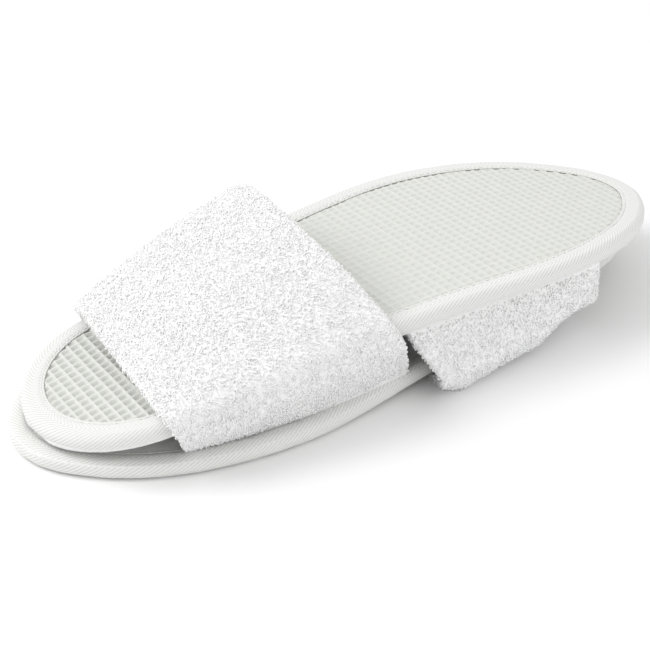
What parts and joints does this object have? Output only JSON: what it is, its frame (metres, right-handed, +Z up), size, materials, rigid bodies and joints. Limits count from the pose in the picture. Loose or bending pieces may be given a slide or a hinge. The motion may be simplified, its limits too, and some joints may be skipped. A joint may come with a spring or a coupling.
{
  "type": "pair of nested spa slippers",
  "caption": "Nested open-toe terry spa slippers with waffle outsoles and bound edges; the upside-down one slides out.",
  "frame": {"origin": "bottom centre of the pair's bounding box, on the surface it stands on", "axes": "+X along the soles, from the lower slipper's toe to its heel; +Z up; +Y to the slippers' far side"},
  "size_m": [0.2904, 0.124, 0.0588],
  "materials": {
    "outsole_eva": "matte moulded foam with a square waffle of pits",
    "midsole_board": "closed-cell foam board",
    "insole_terry": "short loop pile",
    "binding_tape": "woven herringbone tape",
    "thread": "spun sewing thread",
    "terry": "uncut terry loops",
    "foam": "thin open foam",
    "lining": "plain knitted backing",
    "hem": "turned terry edge"
  },
  "bodies": {
    "lower_slipper": {"lower_outsole": "outsole_eva", "lower_midsole": "midsole_board", "lower_insole": "insole_terry", "lower_binding_tape": "binding_tape", "lower_binding_stitch": "thread", "lower_upper_terry": "terry", "lower_upper_foam": "foam", "lower_upper_lining": "lining", "lower_toe_hem": "hem", "lower_throat_hem": "hem"},
    "upper_slipper": {"upper_outsole": "outsole_eva", "upper_midsole": "midsole_board", "upper_insole": "insole_terry", "upper_binding_tape": "binding_tape", "upper_binding_stitch": "thread", "upper_upper_terry": "terry", "upper_upper_foam": "foam", "upper_upper_lining": "lining", "upper_toe_hem": "hem", "upper_throat_hem": "hem"}
  },
  "joints": [
    {"name": "slip_out", "type": "slide", "parent": "lower_slipper", "child": "upper_slipper", "axis": [0.9974, 0, 0.0715], "range_m": [0, 0.3]}
  ]
}
